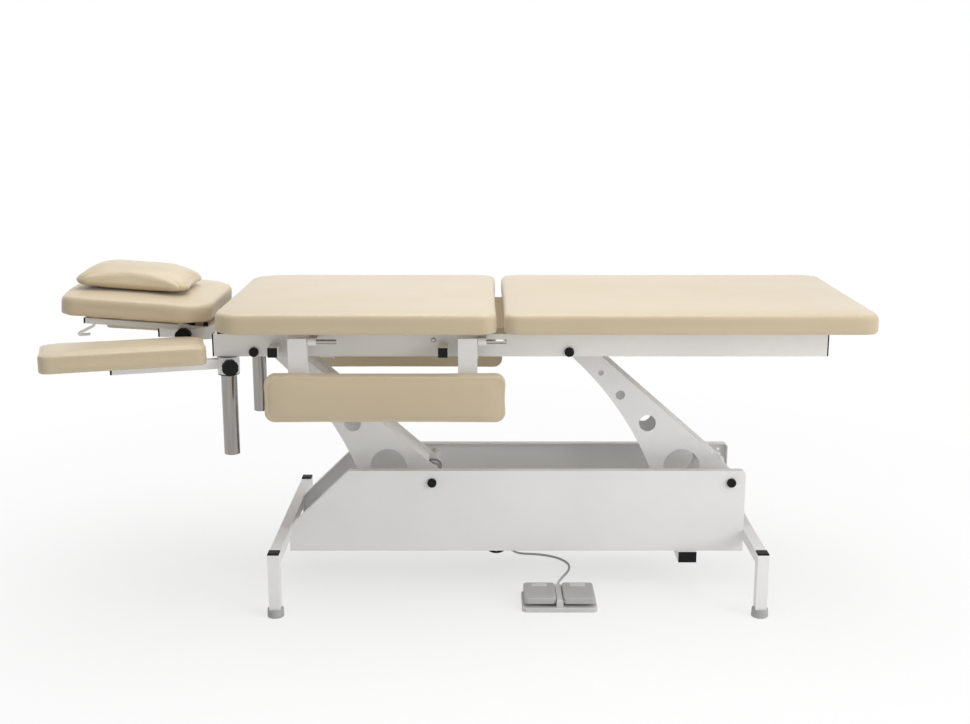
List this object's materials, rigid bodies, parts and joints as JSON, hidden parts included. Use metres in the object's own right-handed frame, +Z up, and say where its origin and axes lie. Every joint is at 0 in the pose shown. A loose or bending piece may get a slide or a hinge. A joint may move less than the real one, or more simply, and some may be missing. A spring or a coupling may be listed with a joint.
{
  "type": "electric massage table",
  "caption": "Height-adjustable padded treatment table on parallel lift arms, with tilting headrest, drop-down side armrests, sliding head-end armrests and a foot switch",
  "frame": {"origin": "on the floor under the middle of the table's outline", "axes": "+Z up, +X towards the foot end, -Y towards the front"},
  "size_m": [2.1419, 0.863, 0.9146],
  "materials": {
    "white_paint": "powder-coated, satin",
    "black_plastic": "moulded, matt",
    "black_metal": "black, satin",
    "upholstery": "smooth beige cover",
    "chrome": "polished",
    "steel": "machined",
    "cast_alloy": "cast, dark",
    "grey_rubber": "matt",
    "grey_plastic": "moulded",
    "pedal_plastic": "moulded",
    "board": "plywood"
  },
  "bodies": {
    "base": {"leg_frames": "white_paint", "feet": "grey_rubber", "base_plugs": "black_plastic", "base_cross_members": "white_paint", "base_panel_front": "white_paint", "base_panel_rear": "white_paint", "lower_pivot_bolts": "black_metal", "actuator_bracket": "white_paint", "control_box": "grey_plastic", "cable_gland": "black_plastic", "switch_cord": "grey_rubber", "foot_switch_base": "grey_plastic"},
    "pedal_left": {"pedal_left": "pedal_plastic"},
    "pedal_right": {"pedal_right": "pedal_plastic"},
    "foot_lift_arm": {"foot_lift_arm_plates": "white_paint", "foot_lift_arm_tubes": "white_paint"},
    "head_lift_arm": {"head_lift_arm_plates": "white_paint", "head_lift_arm_tubes": "white_paint", "lift_lever": "steel"},
    "actuator": {"actuator_gear_housing": "cast_alloy", "actuator_motor": "black_metal", "actuator_tube": "cast_alloy"},
    "actuator_rod": {"actuator_rod": "chrome"},
    "upper_frame": {"rails": "white_paint", "support_stubs": "white_paint", "frame_plugs": "black_plastic", "frame_cross_tubes": "white_paint", "upper_pivot_bolts": "black_metal", "armrest_lugs": "white_paint", "cushion_boards": "board", "rail_spacers": "black_plastic", "seat_cushion": "upholstery", "leg_cushion": "upholstery", "arm_columns": "chrome", "headrest_bracket": "white_paint", "headrest_hinge_pin": "steel"},
    "headrest": {"headrest_frame": "white_paint", "headrest_board": "board", "headrest_cushion": "upholstery", "pillow": "upholstery", "headrest_handle": "white_paint", "headrest_plugs": "black_plastic"},
    "tilt_knob": {"tilt_knob": "black_plastic"},
    "front_armrest": {"front_armrest_brackets": "white_paint", "front_armrest_pins": "chrome", "front_armrest_pad": "upholstery"},
    "front_arm_carriage": {"front_head_arm_bush": "black_plastic"},
    "front_head_arm": {"front_head_arm_tube": "white_paint", "front_head_arm_plug": "black_plastic", "front_head_arm_pad": "upholstery"},
    "front_arm_knob": {"front_head_arm_knob": "black_plastic"},
    "rear_armrest": {"rear_armrest_brackets": "white_paint", "rear_armrest_pins": "chrome", "rear_armrest_pad": "upholstery"},
    "rear_arm_carriage": {"rear_head_arm_bush": "black_plastic"},
    "rear_head_arm": {"rear_head_arm_tube": "white_paint", "rear_head_arm_plug": "black_plastic", "rear_head_arm_pad": "upholstery"},
    "rear_arm_knob": {"rear_head_arm_knob": "black_plastic"}
  },
  "joints": [
    {"name": "lift", "type": "hinge", "parent": "base", "child": "foot_lift_arm", "pos_m": [0.751, 0, 0.313], "axis": [0, 1, 0], "range_deg": [-33, 12]},
    {"name": "head_arm_swing", "type": "hinge", "parent": "base", "child": "head_lift_arm", "pos_m": [-0.077, 0, 0.313], "axis": [0, 1, 0], "range_deg": [-33, 12]},
    {"name": "frame_level", "type": "hinge", "parent": "foot_lift_arm", "child": "upper_frame", "pos_m": [0.291, 0, 0.704], "axis": [0, 1, 0], "range_deg": [-12, 33]},
    {"name": "actuator_swing", "type": "hinge", "parent": "base", "child": "actuator", "pos_m": [0.17, 0, 0.152], "axis": [0, 1, 0], "range_deg": [-1.2, 3.2]},
    {"name": "rod_slide", "type": "slide", "parent": "actuator", "child": "actuator_rod", "axis": [-0.9435, 0, 0.3315], "range_m": [-0.037, 0.0135]},
    {"name": "headrest_tilt", "type": "hinge", "parent": "upper_frame", "child": "headrest", "pos_m": [-0.66, 0, 0.741], "axis": [0, 1, 0], "range_deg": [-10, 18]},
    {"name": "tilt_knob_turn", "type": "hinge", "parent": "upper_frame", "child": "tilt_knob", "pos_m": [-0.742, -0.1436, 0.728], "axis": [0, -1, 0], "range_deg": [-90, 90]},
    {"name": "pedal_left_press", "type": "hinge", "parent": "base", "child": "pedal_left", "pos_m": [0.219, -0.198, 0.0295], "axis": [1, 0, 0], "range_deg": [0, 4], "stiffness_Nm_per_rad": 20},
    {"name": "pedal_right_press", "type": "hinge", "parent": "base", "child": "pedal_right", "pos_m": [0.325, -0.198, 0.0295], "axis": [1, 0, 0], "range_deg": [0, 4], "stiffness_Nm_per_rad": 20},
    {"name": "front_armrest_swing", "type": "hinge", "parent": "upper_frame", "child": "front_armrest", "pos_m": [-0.188, -0.29, 0.741], "axis": [-1, 0, 0], "range_deg": [0, 90]},
    {"name": "front_arm_slide", "type": "slide", "parent": "upper_frame", "child": "front_arm_carriage", "axis": [0, 0, 1], "range_m": [-0.19, 0]},
    {"name": "front_arm_swing", "type": "hinge", "parent": "front_arm_carriage", "child": "front_head_arm", "pos_m": [-0.608, -0.228, 0.6675], "axis": [0, 0, 1], "range_deg": [0, 72]},
    {"name": "front_arm_knob_turn", "type": "hinge", "parent": "front_head_arm", "child": "front_arm_knob", "pos_m": [-0.608, -0.228, 0.6675], "axis": [0.2756, -0.9613, 0], "range_deg": [-90, 90]},
    {"name": "rear_armrest_swing", "type": "hinge", "parent": "upper_frame", "child": "rear_armrest", "pos_m": [-0.188, 0.29, 0.741], "axis": [1, 0, 0], "range_deg": [0, 90]},
    {"name": "rear_arm_slide", "type": "slide", "parent": "upper_frame", "child": "rear_arm_carriage", "axis": [0, 0, 1], "range_m": [-0.17, 0.02]},
    {"name": "rear_arm_swing", "type": "hinge", "parent": "rear_arm_carriage", "child": "rear_head_arm", "pos_m": [-0.608, 0.228, 0.6475], "axis": [0, 0, -1], "range_deg": [0, 72]},
    {"name": "rear_arm_knob_turn", "type": "hinge", "parent": "rear_head_arm", "child": "rear_arm_knob", "pos_m": [-0.608, 0.228, 0.6475], "axis": [0.2756, 0.9613, 0], "range_deg": [-90, 90]}
  ],
  "couplings": [
    {"joint": "head_arm_swing", "follows": "lift", "ratio": 1},
    {"joint": "frame_level", "follows": "lift", "ratio": -1},
    {"joint": "actuator_swing", "follows": "lift", "ratio": -0.095},
    {"joint": "rod_slide", "follows": "lift", "m_per_rad": 0.064}
  ]
}
